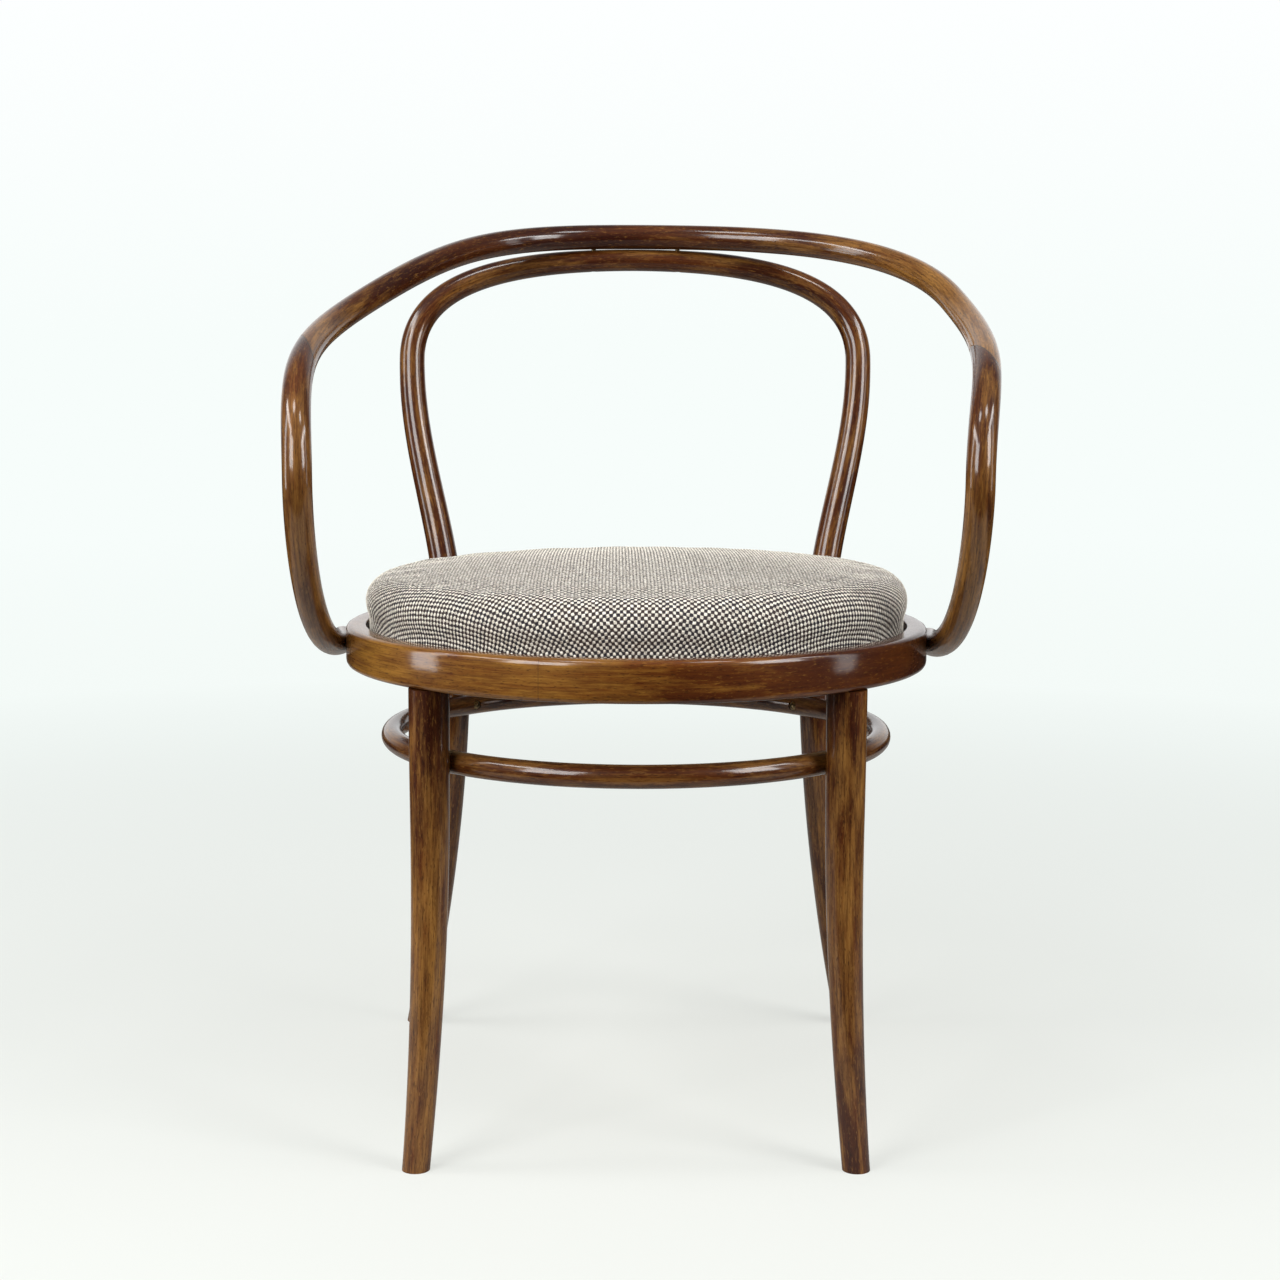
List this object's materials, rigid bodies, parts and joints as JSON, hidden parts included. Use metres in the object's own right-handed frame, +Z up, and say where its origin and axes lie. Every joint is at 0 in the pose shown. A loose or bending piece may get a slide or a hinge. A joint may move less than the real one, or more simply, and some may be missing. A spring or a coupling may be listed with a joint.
{
  "type": "bentwood armchair",
  "caption": "Bentwood armchair: a curved crest rail runs into both arms, over an inner back loop, a round upholstered seat, splayed legs and a ring stretcher.",
  "frame": {"origin": "on the floor, under the middle of the chair's bounding box", "axes": "+Z up, -Y the way the sitter faces, +X to the sitter's left"},
  "size_m": [0.5453, 0.4957, 0.7319],
  "materials": {
    "stained_beech": "dark walnut stain under gloss varnish",
    "raw_beech": "planed, unfinished",
    "plywood": "sanded, unfinished",
    "foam": "open-cell foam",
    "woven_cover": "basket weave of cream and dark brown wool",
    "galvanised_wire": "galvanised",
    "blackened_steel": "blackened",
    "zinc_steel": "zinc plated",
    "brass_screw": "plain"
  },
  "bodies": {
    "root": {"seat_ring": "stained_beech", "front_leg_left": "stained_beech", "front_leg_right": "stained_beech", "back_frame": "stained_beech", "crest_rail": "stained_beech", "left_arm": "stained_beech", "right_arm": "stained_beech", "stretcher_hoop": "stained_beech", "corner_block_front_left": "raw_beech", "corner_block_front_right": "raw_beech", "corner_block_rear_left": "raw_beech", "corner_block_rear_right": "raw_beech", "seat_board": "plywood", "seat_foam": "foam", "seat_cover": "woven_cover", "cover_staples": "galvanised_wire", "back_leg_bolts": "blackened_steel", "back_leg_washers": "zinc_steel", "back_leg_nuts": "zinc_steel", "arm_screws": "brass_screw", "hoop_screws": "zinc_steel", "crest_screws": "zinc_steel", "block_screws": "brass_screw", "seat_screws": "brass_screw"}
  },
  "joints": []
}
